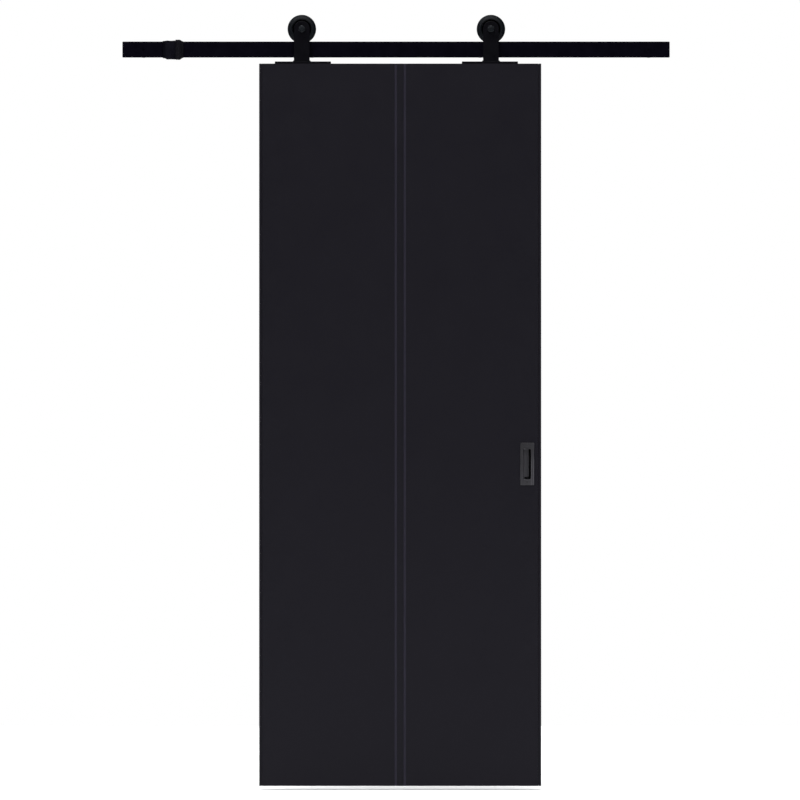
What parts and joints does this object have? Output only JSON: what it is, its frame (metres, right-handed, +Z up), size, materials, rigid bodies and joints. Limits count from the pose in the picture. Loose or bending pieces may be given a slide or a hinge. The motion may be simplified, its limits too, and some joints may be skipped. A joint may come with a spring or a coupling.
{
  "type": "sliding barn door set",
  "caption": "Top-hung sliding door set: flat rail on wall standoffs, grooved-wheel hangers, end stop and a flush leaf with recessed pulls.",
  "frame": {"origin": "below the middle of the rail's length and thickness, at the level of the leaf's bottom edge", "axes": "+X along the rail to the viewer's right, +Y into the wall, +Z up"},
  "size_m": [1.592, 0.052, 2.2425],
  "materials": {
    "rail_black": "fine-textured black powder coat on steel",
    "hanger_black": "satin black powder coat on steel",
    "wheel_black": "turned steel with a satin black coat",
    "bolt_black": "black oxide steel",
    "bearing_steel": "ground bearing steel",
    "seal_rubber": "matt",
    "bumper_rubber": "matt moulded",
    "door_paint": "satin charcoal paint on fibreboard",
    "door_timber": "planed softwood",
    "door_core": "raw particle board",
    "pull_grey": "satin dark grey coat"
  },
  "bodies": {
    "track": {"rail": "rail_black", "stop_body": "hanger_black", "stop_bumper": "bumper_rubber", "stop_grub_screw_1": "bolt_black", "stop_grub_screw_2": "bolt_black", "standoff_1": "rail_black", "rail_screw_1": "rail_black", "standoff_2": "rail_black", "rail_screw_2": "rail_black", "standoff_3": "rail_black", "rail_screw_3": "rail_black", "standoff_4": "rail_black", "rail_screw_4": "rail_black"},
    "door": {"front_skin": "door_paint", "back_skin": "door_paint", "edge_lipping_left": "door_paint", "edge_lipping_right": "door_paint", "stile_left": "door_timber", "stile_right": "door_timber", "top_rail": "door_timber", "bottom_rail": "door_timber", "core_panel": "door_core", "flush_pull_front": "pull_grey", "pull_screw_front_top": "pull_grey", "pull_screw_front_bottom": "pull_grey", "flush_pull_back": "pull_grey", "pull_screw_back_top": "pull_grey", "pull_screw_back_bottom": "pull_grey", "hanger_strap_left": "hanger_black", "axle_bolt_left": "bolt_black", "axle_washer_left": "bolt_black", "front_spacer_left": "bolt_black", "bearing_inner_ring_left": "bearing_steel", "rear_spacer_left": "bolt_black", "lock_nut_left": "bolt_black", "base_plate_left": "hanger_black", "plate_screw_left_1": "bolt_black", "plate_screw_left_2": "bolt_black", "plate_screw_left_3": "bolt_black", "plate_screw_left_4": "bolt_black", "hanger_strap_right": "hanger_black", "axle_bolt_right": "bolt_black", "axle_washer_right": "bolt_black", "front_spacer_right": "bolt_black", "bearing_inner_ring_right": "bearing_steel", "rear_spacer_right": "bolt_black", "lock_nut_right": "bolt_black", "base_plate_right": "hanger_black", "plate_screw_right_1": "bolt_black", "plate_screw_right_2": "bolt_black", "plate_screw_right_3": "bolt_black", "plate_screw_right_4": "bolt_black"},
    "wheel_left": {"wheel_left": "wheel_black", "bearing_outer_ring_left": "bearing_steel", "bearing_seal_left": "seal_rubber", "retaining_ring_left": "bearing_steel"},
    "wheel_right": {"wheel_right": "wheel_black", "bearing_outer_ring_right": "bearing_steel", "bearing_seal_right": "seal_rubber", "retaining_ring_right": "bearing_steel"}
  },
  "joints": [
    {"name": "door_slide", "type": "slide", "parent": "track", "child": "door", "axis": [1, 0, 0], "range_m": [-0.321, 0.475]},
    {"name": "wheel_left_spin", "type": "hinge", "parent": "door", "child": "wheel_left", "pos_m": [-0.274, 0, 2.2008], "axis": [0, 1, 0], "range_deg": [-520, 770]},
    {"name": "wheel_right_spin", "type": "hinge", "parent": "door", "child": "wheel_right", "pos_m": [0.276, 0, 2.2008], "axis": [0, 1, 0], "range_deg": [-520, 770]}
  ],
  "couplings": [
    {"joint": "wheel_left_spin", "follows": "door_slide", "rad_per_m": 27.855},
    {"joint": "wheel_right_spin", "follows": "door_slide", "rad_per_m": 27.855}
  ]
}
